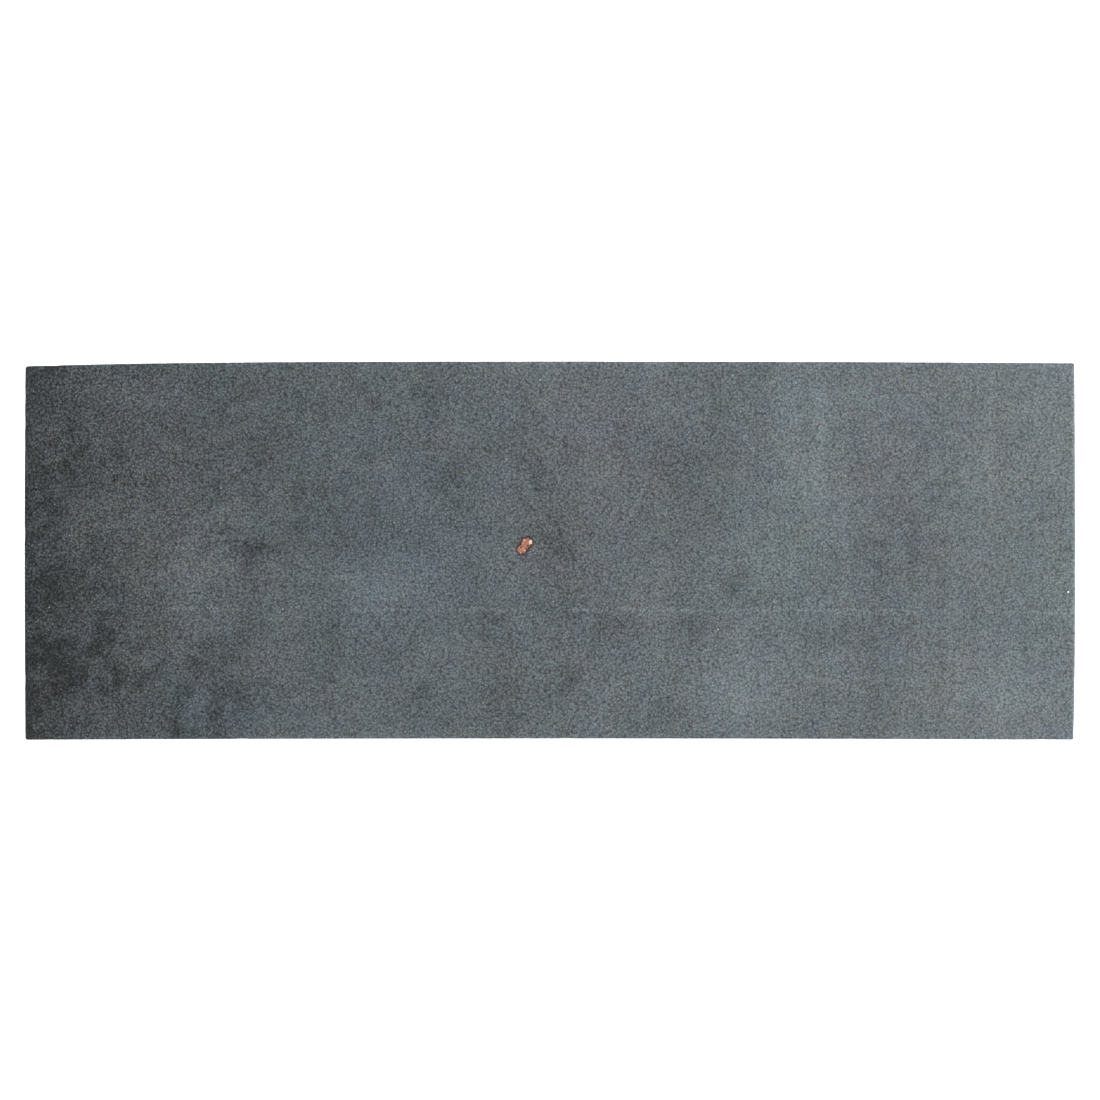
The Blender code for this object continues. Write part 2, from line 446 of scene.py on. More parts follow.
# The stone's clouds. Places are in mm from the middle of the slab, x to the right and y to the back.
stoneClouds = {
    # soft dark spots: x, y, half-width, half-height, strength
    "darkSpots": [
        (-172, -34, 44, 46, 0.34),
        (-176, -6, 15, 26, 0.46),
        (-168, -8, 9, 16, 0.42),
        (-158, -41, 20, 16, 0.66),
        (-150, -26, 15, 24, 0.40),
        (-174, -36, 16, 20, 0.66),
        (-178, -56, 14, 16, 0.84),
        (-176, 60, 30, 12, 0.40),
        (-161, 31, 9, 20, 0.56),
        (-147, 27, 9, 15, 0.48),
        (-172, 26, 12, 34, 0.30),
        (-173, 10, 15, 14, 0.34),
        (-137, -42, 22, 12, 0.40),
        (-116, -34, 9, 8, 0.44),
        (-125, -56, 8, 17, 0.80),
        (-111, -56, 6, 13, 0.34),
        (-108, -52, 11, 14, 0.26),
        (-99, 1, 10, 7, 0.70),
        (-111, 2, 9, 7, 0.50),
        (-100, 31, 15, 18, 0.24),
        (-112, 50, 14, 12, 0.20),
        (-85, 15, 7, 7, 0.34),
        (-41, 52, 8, 10, 0.56),
        (-61, 50, 8, 8, 0.36),
        (-66, 26, 7, 7, 0.44),
        (-33, 22, 12, 12, 0.18),
        (-8, 32, 7, 28, 0.30),
        (2, 1, 10, 16, 0.24),
        (-19, -24, 9, 11, 0.32),
        (-17, -50, 12, 15, 0.32),
        (-43, -46, 11, 10, 0.28),
        (5, -45, 12, 12, 0.32),
        (21, -26, 11, 9, 0.28),
        (49, -26, 12, 8, 0.28),
        (67, -12, 9, 10, 0.24),
        (58, 42, 9, 26, 0.10),
        (116, 0, 22, 26, 0.24),
        (134, 22, 18, 32, 0.20),
        (106, 26, 10, 26, 0.18),
        (98, -28, 36, 8, 0.22),
        (168, 8, 13, 22, 0.20),
        (33, -53, 13, 13, 0.16),
        (0, 4, 20, 66, 0.12),
        (-74, 0, 20, 66, 0.08),
    ],
    # soft light spots
    "lightSpots": [
        (-126, -12, 28, 28, 0.26),
        (-141, 12, 18, 20, 0.12),
        (-132, 26, 16, 18, 0.16),
        (-56, -14, 26, 20, 0.24),
        (62, -48, 28, 26, 0.26),
        (86, 40, 18, 36, 0.26),
        (106, 56, 40, 14, 0.12),
        (156, -46, 32, 28, 0.20),
        (75, -2, 11, 16, 0.10),
        (-146, 52, 18, 10, 0.12),
        (155, -36, 5, 4, 0.14),
        (82, 0, 50, 100, 0.08),
    ],
    # tints: strength above zero is warmer, below zero is cooler
    "warmSpots": [
        (-140, 10, 44, 62, 0.50),
        (-141, -39, 12, 9, 0.90),
        (-119, -36, 10, 9, 1.10),
        (-54, 4, 46, 64, -0.80),
        (-40, -6, 26, 22, -0.50),
        (-112, -54, 32, 14, -1.30),
        (128, -46, 28, 18, 0.60),
        (4, 14, 20, 30, 0.50),
        (160, 24, 34, 50, 0.24),
        (88, -12, 22, 20, -0.30),
    ],
    # tints: strength above zero is rosier, below zero is greener
    "rosySpots": [
        (16, 34, 48, 46, 0.70),
        (6, -6, 30, 28, 0.46),
        (-150, 40, 36, 30, 0.50),
        (-122, -4, 22, 40, 0.30),
        (116, 20, 22, 44, 0.50),
        (168, -6, 30, 66, -0.90),
        (76, 0, 28, 44, -0.56),
        (86, 48, 22, 22, -0.30),
        (-176, -34, 12, 30, -0.50),
        (-124, -56, 14, 12, -0.80),
    ],
}
cloudSizes = {
    "Drift": 17.0,  # how far the spots' outlines wander, mm
    "Drift size": 8.0,
    "Ragged size": 5.0,
    "Cloud size": 20.0,
    "Broad size": 45.0,
    "Tint size": 11.0,
    "Cloud depth": 0.80,
    "Broad depth": 0.34,
    "Upright streaks": 0.30,
    "Level streaks": 0.15,
    "Tint depth": 3.8,
}
cloudStretch = {"upright": (0.22, 0.012, 0.1), "level": (0.010, 0.26, 0.1)}
# Fades: where each starts and ends, and its value at the start and at the end
toneFades = {
    # by the ragged noise, and by the dark spots' strength
    "ragged": (-0.13, 0.13, 1.7, 0.30),
    "darkest": (0.0, 1.1, 0.0, 0.72, "LINEAR"),
    # by place, in mm
    "cloudDepth": (-160, -10, 2.15, 1.0),
    "streakDepth": (-60, 110, 0.5, 1.4),
    # darker towards the left end: partly the stone's own staining, partly painted light falling from the
    # right
    "leftHalf": (-190, -50, 0.54, 1.0),
    "leftEnd": (-180, -148, 0.78, 1.0),
    # darker along the left end: painted shade where the eased edge faces away from the light
    "leftEdgeShade": (-177.4, -173.5, 0.77, 1.0),
    # lighter towards the right end: partly the stone, partly painted light from the right
    "rightwards": (-60, 178, 0.965, 1.075, "LINEAR"),
    # paler near the front, back and right edges: partly a painted highlight from the light at the right
    "paleEdges": (2.4, 0.3, 1.0, 1.17),
    "sawnLeft": (-50, -190, 0.0, 0.26),
    # darker towards the bottom of the sides
    "darkerFoot": (7.0, 1.0, 0.0, 0.14),  # above the stone's bottom
}
# The sawn sides, where the blade left its arcs
sawMarks = {
    "bladeRadius": 200.0,
    "bladeLevel": 4.0,
    "bandMm": 6.0,
    "bandDepth": 0.85,
    "scoreMm": 0.75,
    "scoreDepth": 0.62,
    "waveMm": 6.0,
    "slowWaveMm": 26.0,
    "ledge": stoneBottomMm + 4.9,  # below it the stone was snapped off, not sawn
    "ledgeDepth": 0.10,
}
# Bites out of the edges, in mm. Those of the top are slight.
chipSizes = {
    "cell": 8.0,
    "chosen": (0.52, 0.60),  # a cell holds a chip when its draw, 0 to 1, is above these
    "bite": (0.40, 0.12),  # a chip's outside and its floor, in cells from the cell's point
    "reach": 2.6,
    "upper": 8.0,
    "lower": -10.0,
    "topShare": 0.22,
    "nibbleMm": 1.6,
    "nibbleDepth": 0.24,
}


def softSpots(graph, place, spots):
    total = 0.0
    for x, y, halfWidth, halfHeight, strength in spots:
        away = graph.vector("SUBTRACT", place, (x, y, 0))
        away = graph.vector("DIVIDE", away, (halfWidth, halfHeight, 1))
        total = graph.ease(graph.vector("LENGTH", away, out="Value"), 1.0, 0.0, 0.0, strength) + total
    return total


def bladeArc(graph, place):  # a number that stays the same along each arc of the saw
    x, y, z = graph.split(place)
    return x + y - graph.maths("SQRT", sawMarks["bladeRadius"] ** 2 - (z - sawMarks["bladeLevel"]) ** 2)


def edgeChips(graph, place, half):
    # how much is broken away at a place, how far the nearest edge is, and how much larger the
    # chips grow towards the underside; place and half are in mm from the stone's middle
    sizes = chipSizes
    parts = graph.split(place)
    margins = [reach - graph.maths("ABSOLUTE", part) for reach, part in zip(half, parts)]
    least = graph.maths("MINIMUM", graph.maths("MINIMUM", margins[0], margins[1]), margins[2])
    most = graph.maths("MAXIMUM", graph.maths("MAXIMUM", margins[0], margins[1]), margins[2])
    fromEdge = margins[0] + margins[1] + margins[2] - least - most
    cells = graph.cells(place, sizes["cell"], out="Distance")
    chosen = graph.ease(graph.split(cells.out("Color"))[0], *sizes["chosen"])
    lower = graph.ease(parts[2], sizes["upper"], sizes["lower"], sizes["topShare"], 1.0)
    bites = graph.ease(cells, *sizes["bite"])
    chips = bites * chosen * graph.ease(fromEdge, sizes["reach"], 0.2) * lower
    return chips, fromEdge, lower


def makeCloudGraph():
    # stores the stone's tone, its two tints and the tone of its sawn sides at each point, about zero
    fades = toneFades
    graph = geometryGraph("cloudedStone", cloudSizes)
    given = graph.add("NodeGroupInput", out="Drift")
    place = graph.scaled(graph.add("GeometryNodeInputPosition"), 1 / mm)
    x, y, z = graph.split(place)
    drift = given.out("Drift")
    wander = graph.noise(place, given.out("Drift size"), detail=4.0, roughness=0.6, out="Color")
    loose = graph.vector("SUBTRACT", wander, (0.5, 0.5, 0.5))
    loose = graph.vector("MULTIPLY_ADD", loose, graph.join(drift, drift, 0.0), place)
    loose = graph.vector("MULTIPLY", loose, (1, 1, 0))

    cloud = graph.noise(place, given.out("Cloud size"), detail=4.0, roughness=0.85) - 0.5
    broad = graph.noise(place, given.out("Broad size"), detail=2.0) - 0.5
    upright = graph.vector("MULTIPLY", place, cloudStretch["upright"])
    level = graph.vector("MULTIPLY", place, cloudStretch["level"])
    uprights = (graph.noise(upright, 1.0, detail=3.0, roughness=0.6) - 0.5) * given.out("Upright streaks")
    levels = (graph.noise(level, 1.0, detail=2.0) - 0.5) * given.out("Level streaks")
    ragged = graph.noise(place, given.out("Ragged size"), detail=4.0, roughness=0.75) - 0.5 + cloud * 0.6
    darks = softSpots(graph, loose, stoneClouds["darkSpots"]) * graph.ease(ragged, *fades["ragged"])
    lights = softSpots(graph, loose, stoneClouds["lightSpots"])

    tone = 1 + cloud * given.out("Cloud depth") * graph.ease(x, *fades["cloudDepth"])
    tone = tone + broad * given.out("Broad depth") + levels
    tone = tone + uprights * graph.ease(x, *fades["streakDepth"])
    tone = tone * (1 - graph.ease(darks, *fades["darkest"])) * (1 + lights)
    # darker to the left, lighter to the right: partly staining, partly painted light from the right
    tone = tone * graph.ease(x, *fades["leftHalf"]) * graph.ease(x, *fades["leftEnd"])
    tone = tone * graph.ease(x, *fades["rightwards"])

    # three edges paler, partly a painted highlight of the light from the right
    fromSides = stoneHalfMm[1] - graph.maths("ABSOLUTE", y)
    fromEdge = graph.maths("MINIMUM", fromSides, stoneHalfMm[0] - x)
    # the left end darker: painted shade of the edge that faces away from the light
    tone = tone * graph.ease(fromEdge, *fades["paleEdges"]) * graph.ease(x, *fades["leftEdgeShade"])

    mottled = graph.noise(place, given.out("Tint size"), detail=4.0, roughness=0.7, out="Color")
    first, second = graph.split(mottled)[:2]
    warm = softSpots(graph, loose, stoneClouds["warmSpots"]) + (first - 0.5) * given.out("Tint depth")
    rosy = softSpots(graph, loose, stoneClouds["rosySpots"]) + (second - 0.5) * given.out("Tint depth")
    warm = warm - darks * 0.35
    rosy = rosy - darks * 0.25

    # the sides: bands that follow the blade's arcs, and darker towards the bottom
    bandPlace = graph.join(bladeArc(graph, place), 0.0, z * 0.02)
    bands = graph.noise(bandPlace, sawMarks["bandMm"], detail=3.0, roughness=0.6) - 0.5
    sawn = bands * sawMarks["bandDepth"] + cloud * 0.8 + broad * 0.8
    sawn = sawn - graph.ease(z - stoneBottomMm + cloud * 22.0, *fades["darkerFoot"])
    sawn = sawn - graph.ease(x, *fades["sawnLeft"])
    aboutMiddle = graph.vector("SUBTRACT", place, (0, 0, stoneMiddleMm))
    sawn = sawn + edgeChips(graph, aboutMiddle, stoneHalfMm)[0] * 0.55

    held = given.out("Geometry")
    for name, value in (("tone", tone - 1), ("warm", warm), ("rosy", rosy), ("sawn", sawn)):
        values = {"Geometry": held, "Name": name, "Value": value}
        held = graph.add("GeometryNodeStoreNamedAttribute", None, values)
    endGeometry(graph, held, given)
    return graph


stoneLook = {
    "brightness": 0.0845,
    # tints that the brightness is multiplied by
    "cool": (0.795, 0.99, 1.150),
    "warm": (0.895, 1.0, 1.010),
    "green": (0.945, 1.015, 0.985),
    "rose": (1.055, 0.985, 1.015),
    "grainMm": 0.80,
    "fineMm": 0.42,
    "grainContrast": 0.43,
    # fades of that contrast along the slab: from x, to x, and the factor at each
    # the contrast falls to the right: partly the stone, partly a painted veil of sheen from the light at
    # the right
    "contrastLeft": (-178, -70, 1.26, 1.0),
    "contrastRight": (-20, 178, 1.0, 0.90),
    "pitMm": 1.4,
    "pitShare": (-174, -110, 0.22, 0.05),  # likewise
    # fine light lines, as a straight-edge or a knife leaves them: ends, half-width, strength
    "scratches": [
        (-178, -19.2, -112, -19.5, 1.3, 0.15),
        (-112, -19.6, -66, -19.8, 0.9, 0.15),
        (-66, -19.9, -16, -20.1, 0.8, 0.26),
        (8, -19.95, 48, -20.15, 1.15, 0.36),
        (48, -20.15, 94, -20.4, 1.1, 0.18),
        (94, -20.7, 140, -21.0, 1.5, 0.17),
        (140, -20.9, 178, -21.1, 0.6, 0.18),
        (-175, -3, -157, 9, 0.5, 0.26),
        (-70, -61, -61, -45, 0.5, 0.16),
        (-23, -17, -16, -26, 0.6, -0.16),
        (149, 60, 149, 10, 2.2, 0.07),
        (91, 64, 92, 4, 3.2, 0.07),
    ],
    # the arris is paler: partly wear, partly a painted highlight of its polished edge
    "arrisWearAndHighlight": 0.22,  # how much paler the arris is
    "sawnBrightness": 1.16,  # the sawn sides against the honed top
    # the stained rim round the inclusion
    "haloReach": (4.3, 2.9, 1.5),  # half of its length, width and depth
    "haloTurn": math.radians(54),
    "haloTint": (0.50, 0.44, 0.36),
}


def scratchMarks(graph, place, scratches):
    total = 0.0
    for startX, startY, endX, endY, halfWidth, strength in scratches:
        start = Vector((startX, startY, 0))
        run = Vector((endX, endY, 0)) - start
        offset = graph.vector("SUBTRACT", place, tuple(start))
        share = graph.vector("DOT_PRODUCT", offset, tuple(run / run.length_squared), out="Value")
        nearest = graph.scaled(tuple(run), graph.ease(share, 0.0, 1.0, 0.0, 1.0, "LINEAR"))
        away = graph.vector("DISTANCE", offset, nearest, out="Value")
        total = graph.ease(away, halfWidth, 0.0, 0.0, strength) + total
    return total


def makeGranite():
    look = stoneLook
    material, graph = newMaterial("honedGranite")
    place = placeInMm(graph)
    parts = graph.split(place)
    x, z = parts[0], parts[2]
    stored = {}
    for name in ("tone", "warm", "rosy", "sawn"):
        stored[name] = graph.add("ShaderNodeAttribute", {"attribute_name": name}, out="Fac")
    tone = 1 + stored["tone"]

    # crystals of two sizes, paler in their middles
    grains = graph.cells(place, look["grainMm"], out="Distance")
    pick, otherPick, thirdPick = graph.split(grains.out("Color"))
    fine = graph.split(graph.cells(place, look["fineMm"]))[1]
    shade = (pick - 0.5) * 0.2 + (0.52 - grains) * 1.6 + (fine - 0.5) * 0.6
    # on dark ground they stand out more
    contrast = look["grainContrast"] / tone**0.42 * graph.ease(x, *look["contrastLeft"])
    # less contrast to the right: partly a painted veil of sheen from the light there
    contrast = contrast * graph.ease(x, *look["contrastRight"])
    crystals = graph.maths("MAXIMUM", 1 + shade * contrast, 0.1) ** 2.4

    # pits between the crystals, most of them at the left end
    pitCells = graph.cells(place, look["pitMm"], out="Distance")
    pitPick = graph.split(pitCells.out("Color"))[0]
    pitShare = graph.ease(x, *look["pitShare"]) - stored["tone"] * 0.3
    pits = graph.ease(pitCells, 0.26, 0.14) * graph.ease(pitShare - pitPick, 0.0, 0.02)

    flat = graph.vector("MULTIPLY", place, (1, 1, 0))
    scratches = scratchMarks(graph, flat, look["scratches"])
    # the pits darken the colour: painted shade in them
    honed = crystals * tone * (1 + scratches) * (1 - pits * 0.75)

    # tints
    coolToWarm = 0.5 + stored["warm"] * 0.5 + (otherPick - 0.5) * 0.8
    greenToRose = 0.5 + stored["rosy"] * 0.5 + (thirdPick - 0.5) * 0.8
    tint = graph.mix(coolToWarm, rgba(look["cool"]), rgba(look["warm"]))
    tint = graph.mix(1.0, tint, graph.mix(greenToRose, rgba(look["green"]), rgba(look["rose"])), "MULTIPLY")

    # the stained rim round the inclusion
    middle = Vector((*grain["middle"], stoneTop)) / mm
    fromMiddle = graph.vector("SUBTRACT", place, tuple(middle))
    turned = {"Vector": fromMiddle, "Rotation": (0, 0, look["haloTurn"])}
    local = graph.add("ShaderNodeMapping", {"vector_type": "TEXTURE"}, turned)
    halo = graph.vector("LENGTH", graph.vector("DIVIDE", local, look["haloReach"]), out="Value")
    halo = graph.ease(halo + (pick - 0.5) * 0.25, 1.0, 0.80)
    tint = graph.mix(halo * 0.8, tint, rgba(look["haloTint"]))

    # the sawn sides and underside: paler, with the blade's arcs
    scorePlace = graph.join(bladeArc(graph, place), 0.0, z * 0.03)
    scores = graph.noise(scorePlace, sawMarks["scoreMm"], detail=3.0, roughness=0.7)
    aboveLedge = z - sawMarks["ledge"] - stored["sawn"] * 0.5
    fromLedge = graph.maths("ABSOLUTE", aboveLedge)
    snapped = graph.ease(aboveLedge, 0.2, -0.2)
    sawnTone = 1 + stored["sawn"] + (scores - 0.5) * sawMarks["scoreDepth"] * (1 - snapped)
    # a thin darker line along the ledge: painted shadow of the step
    sawnTone = sawnTone * (1 - graph.ease(fromLedge, 0.45, 0.10) * 0.20)
    rough = 0.50 + snapped * 0.14
    evenCrystals = graph.maths("MAXIMUM", 1 + shade * look["grainContrast"], 0.1) ** 2.4
    sawn = sawnTone * (1 + (evenCrystals - 1) * rough) * look["sawnBrightness"]
    # the arris paler: partly wear, partly a painted highlight of its polished edge
    honed = honed * (1 + graph.ease(z, stoneTopMm - 0.05, stoneTopMm - 0.45) * look["arrisWearAndHighlight"])
    edge = stoneTopMm - 0.8 + stored["warm"] * 0.10 + (pick - 0.5) * 0.2
    sideShare = graph.ease(z, edge + 0.25, edge - 0.25)
    brightness = honed + (sawn - honed) * sideShare
    colour = graph.scaled(tint, brightness * look["brightness"])

    roughness = graph.ease(shade, -0.6, 0.6, 0.42, 0.54) + pits * 0.3
    roughness = roughness + (0.82 - roughness) * sideShare
    height = pick * 0.006 - pits * 0.10
    height = height + (scores * 0.10 + pick * 0.03 - height) * sideShare
    values = {"Base Color": colour, "Roughness": roughness, "Specular IOR Level": 0.35}
    finishMaterial(graph, {**values, "Normal": bumped(graph, height, 0.8)})
    return material


# The stone's shape: a box with eased edges whose sides bow as the saw left them
stoneSizes = {
    "Length": stoneHigh.x - stoneLow.x,
    "Width": 0.1282,  # before the sides bow
    "Thickness": stoneTop - stoneBottom,
    "Bottom": stoneBottom,
    "Arris": 0.0008,
    "Front bow": 0.00044,
    "Back bow": 0.00055,
    "Back taper": 0.0011,
    "End bow": 0.00025,
    "Right taper": 0.0004,
    "Chip depth": 0.00055,
    "Saw depth": 0.00016,
    "Hone depth": 0.00002,
}
stoneCells = {"along": 324, "across": 84, "through": 32, "arrisRows": 4}


def makeStoneGraph():
    graph = geometryGraph("sawnStone", stoneSizes)
    given = graph.add("NodeGroupInput", out="Length")
    arris = given.out("Arris")
    rows = stoneCells["arrisRows"]
    counts = [stoneCells[way] + 2 * rows for way in ("along", "across", "through")]
    lattice = {"Size": (2, 2, 2)}
    for label, count in zip(("Vertices X", "Vertices Y", "Vertices Z"), counts):
        lattice[label] = count + 1
    block = graph.add("GeometryNodeMeshCube", None, lattice)

    # cells of even size, with narrow rows within an arris of each edge
    spot = graph.split(graph.add("GeometryNodeInputPosition"))
    half = [given * 0.5, given.out("Width") * 0.5, given.out("Thickness") * 0.5]
    placed = []
    for share, reach, count in zip(spot, half, counts):
        turn = 1 - 2 * rows / count
        size = graph.maths("ABSOLUTE", share)
        inner = graph.ease(size, 0.0, turn, 0.0, reach - arris, "LINEAR")
        outer = graph.ease(size, turn, 1.0, 0.0, arris, "LINEAR")
        placed.append(graph.maths("SIGN", share) * (inner + outer))
    sharp = graph.join(*placed)

    # every edge rounded to the arris
    limit = graph.join(*[reach - arris for reach in half])
    core = graph.vector("MAXIMUM", graph.vector("MINIMUM", sharp, limit), graph.scaled(limit, -1.0))
    outward = graph.vector("NORMALIZE", graph.vector("SUBTRACT", sharp, core))
    rounded = graph.vector("ADD", core, graph.scaled(outward, arris))

    # chips along the edges, deeper towards the underside
    placeMm = graph.scaled(sharp, 1 / mm)
    chips, fromEdge, lower = edgeChips(graph, placeMm, [reach / mm for reach in half])
    nibbles = graph.noise(placeMm, chipSizes["nibbleMm"], detail=3.0) * graph.ease(fromEdge, 1.0, 0.0)
    nibbles = nibbles * chipSizes["nibbleDepth"]
    chipDepth = (chips + nibbles * lower) * given.out("Chip depth")

    # waves from the saw on the sides and underside, and a slight wave in the honed top
    sideShare = graph.ease(placed[2], half[2] - 0.5 * mm, half[2] - 1.6 * mm)
    wavePlace = graph.vector("MULTIPLY", placeMm, (1.0, 1.0, 0.12))
    quick = graph.noise(wavePlace, sawMarks["waveMm"], detail=2.0)
    slow = graph.noise(wavePlace, sawMarks["slowWaveMm"], detail=1.0)
    ledgeLevel = (sawMarks["ledge"] - stoneMiddleMm) * mm
    ledge = graph.ease(placed[2], ledgeLevel + 0.1 * mm, ledgeLevel - 0.3 * mm) * sawMarks["ledgeDepth"]
    waves = graph.ease(quick * 0.5 + slow * 0.5 - ledge, 0.42, 0.70, 0.0, 1.0, "LINEAR")
    sawDepth = waves * sideShare * given.out("Saw depth")
    honeDepth = (1 - sideShare) * graph.ease(graph.noise(placeMm, 30.0), 0.3, 0.7, 1.0, 1.6)
    inset = chipDepth + sawDepth + honeDepth * given.out("Hone depth")
    shaped = graph.vector("SUBTRACT", rounded, graph.scaled(outward, inset))

    # the plan: each long side and each end bows as it was sawn
    shapedX, shapedY, shapedZ = graph.split(shaped)
    u, v = shapedX / half[0], shapedY / half[1]
    uLeft = graph.maths("MAXIMUM", 0 - u, 0.0)
    vFront = graph.maths("MAXIMUM", 0 - v, 0.0)
    left = v * v * given.out("End bow")
    right = left + vFront**4 * given.out("Right taper")
    front = (1 - u * u) * given.out("Front bow")
    back = u * u * given.out("Back bow") + uLeft**4 * given.out("Back taper")
    planX = shapedX + left * (1 - u) * 0.5 - right * (1 + u) * 0.5
    planY = shapedY + front * (1 - v) * 0.5 - back * (1 + v) * 0.5
    planZ = shapedZ + half[2] + given.out("Bottom")
    moved = {"Geometry": block, "Position": graph.join(planX, planY, planZ)}
    endGeometry(graph, graph.add("GeometryNodeSetPosition", None, moved), given)
    return graph


def makeStone():
    granite = makeGranite()
    stone = newPiece("stoneSlab", bpy.data.meshes.new("stoneSlab"))
    runGeometry(stone, makeStoneGraph(), stoneSizes, granite)
    cutter = newPiece("pocketCutter", grainMesh("pocketCutter", grain["gap"], mm, False))
    pocket = stone.modifiers.new("pocket", "BOOLEAN")
    pocket.operation = "DIFFERENCE"
    pocket.solver = "EXACT"
    pocket.object = cutter
    runGeometry(stone, makeCloudGraph(), cloudSizes, granite)
    mesh = plainMesh(stone)
    bpy.data.objects.remove(cutter)
    mesh.shade_smooth()
    mesh.set_sharp_from_angle(angle=math.radians(40))
    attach(stone, "root")
    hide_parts("stone_slab")
    print("stone made:", len(mesh.polygons), "faces")


makeStone()

# The inclusion's colours, with places in mm from its middle
grainLook = {
    "orange": display(186, 114, 80),
    "ochre": display(160, 98, 52),
    "salmon": display(148, 98, 82),
    "pink": display(188, 112, 110),
    "dusty": display(140, 100, 90),
    "tan": display(132, 106, 88),
    "cream": display(214, 206, 190),
    "blush": display(200, 152, 142),
    "brown": display(116, 62, 14),
    "mauve": display(98, 62, 64),
    "olive": display(74, 64, 40),
    "black": display(34, 30, 26),
    # patches: x, y, radius, colour name
    "patches": [
        (-2.00, -1.60, 0.85, "dusty"),
        (-0.62, -0.89, 0.80, "orange"),
        (-1.15, -1.50, 0.80, "orange"),
        (-1.20, -2.00, 0.50, "salmon"),
        (0.62, 1.30, 0.85, "ochre"),
        (-0.06, 1.85, 0.50, "blush"),
        (-0.48, 0.80, 0.55, "pink"),
        (-0.20, 1.25, 0.35, "pink"),
        (0.37, -0.04, 0.48, "pink"),
        (1.25, 0.60, 0.55, "orange"),
        (0.85, -0.85, 0.50, "tan"),
        (0.20, 2.45, 0.55, "olive"),
        (1.00, 2.60, 0.55, "tan"),
        (1.95, 2.45, 0.50, "black"),
        (-1.38, 0.72, 0.60, "mauve"),
        (-2.05, -2.75, 0.85, "mauve"),
        (-0.55, -2.80, 0.80, "mauve"),
        (-1.20, -2.42, 0.36, "blush"),
        (2.20, 1.50, 0.56, "cream"),
        (2.10, 0.95, 0.64, "cream"),
        (1.80, 1.35, 0.40, "cream"),
        (0.06, -1.62, 0.30, "cream"),
        (-1.19, -0.64, 0.42, "brown"),
        (1.07, -0.11, 0.52, "brown"),
        (0.65, -1.40, 0.50, "brown"),
        (0.23, -1.08, 0.34, "brown"),
    ],
    "swayMm": 0.35,  # how far the patches' outlines wander
    "cleavedMm": 0.55,
    # the dark rim fades over these distances in from the outline
    "rimStart": 0.52,
    "rimEnd": 0.10,
}


def makeFeldspar():
    look = grainLook
    material, graph = newMaterial("feldspar")
    place = placeInMm(graph)
    middle = Vector((*grain["middle"], stoneTop)) / mm
    local = graph.add("ShaderNodeMapping", None, {"Vector": place, "Location": tuple(-middle)})
    reach = look["swayMm"]
    sway = graph.noise(local, 0.5, detail=2.0, out="Color")
    loose = graph.vector("MULTIPLY_ADD", sway, (2 * reach, 2 * reach, 0.0), local)
    loose = graph.vector("SUBTRACT", loose, (reach, reach, 0.0))
    flat = graph.vector("MULTIPLY", loose, (1, 1, 0))

    cleaved, blotched = graph.split(graph.cells(loose, look["cleavedMm"]))[:2]
    colour = graph.mix(graph.ease(cleaved, 0.25, 0.75), rgba(look["salmon"]), rgba(look["dusty"]))
    for x, y, radius, name in look["patches"]:
        away = graph.vector("LENGTH", graph.vector("SUBTRACT", flat, (x, y, 0)), out="Value")
        colour = graph.mix(graph.ease(away, radius, radius * 0.45), colour, rgba(look[name]))
    fine = graph.noise(local, 0.22, detail=3.0, roughness=0.7)
    colour = graph.scaled(colour, graph.ease(fine, 0.25, 0.75, 0.60, 1.20, "LINEAR"))
    rim = graph.add("ShaderNodeAttribute", {"attribute_name": "rim"}, out="Fac")
    broken = graph.noise(local, 0.9, detail=2.0)
    outer = graph.ease(rim + (fine - 0.5) * 0.3 + (broken - 0.5) * 0.6, look["rimStart"], look["rimEnd"])
    rimColour = graph.mix(graph.ease(blotched, 0.3, 0.7), rgba(look["olive"]), rgba(look["black"]))
    rimColour = graph.mix(graph.ease(graph.split(local)[1], -1.2, -2.6), rimColour, rgba(look["mauve"]))
    colour = graph.mix(outer * 0.92, colour, rimColour)
    roughness = graph.ease(cleaved, 0.0, 1.0, 0.30, 0.52, "LINEAR")
    normal = bumped(graph, cleaved * 0.03 + fine * 0.03)
    finishMaterial(graph, {"Base Color": colour, "Roughness": roughness, "Normal": normal})
    return material


def makeInclusion():
    mesh = grainMesh("feldsparGrain", 0.0, -grain["sink"], True)
    mesh.materials.append(makeFeldspar())
    mesh.shade_smooth()
    mesh.set_sharp_from_angle(angle=math.radians(30))
    piece = newPiece("feldsparGrain", mesh)
    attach(piece, "root")
    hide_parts("feldspar_inclusion")
    print("inclusion made:", len(mesh.polygons), "faces")


makeInclusion()

# Flecks: small bright cleavage faces of feldspar in the honed top, three of them placed one by one
fleckMargin = 0.003  # kept clear along each edge
fleckSizes = {
    "Length": stoneSizes["Length"] - 2 * fleckMargin,
    "Width": stoneSizes["Width"] - 2 * fleckMargin,
    "Level": stoneTop - 0.00004,  # just under the honed face, which they break through
    "Density": 4200.0,  # on a square metre
    "Smallest": 0.00010,
    "Largest": 0.00026,
    "Half thickness": 0.00003,
    "Seed": 7,
}
fleckTilt = 0.03  # radians
# x, y, radius
placedFlecks = [(0.1752, -0.0140, 0.00042), (-0.1112, 0.0211, 0.00028), (0.0012, -0.0172, 0.00034)]


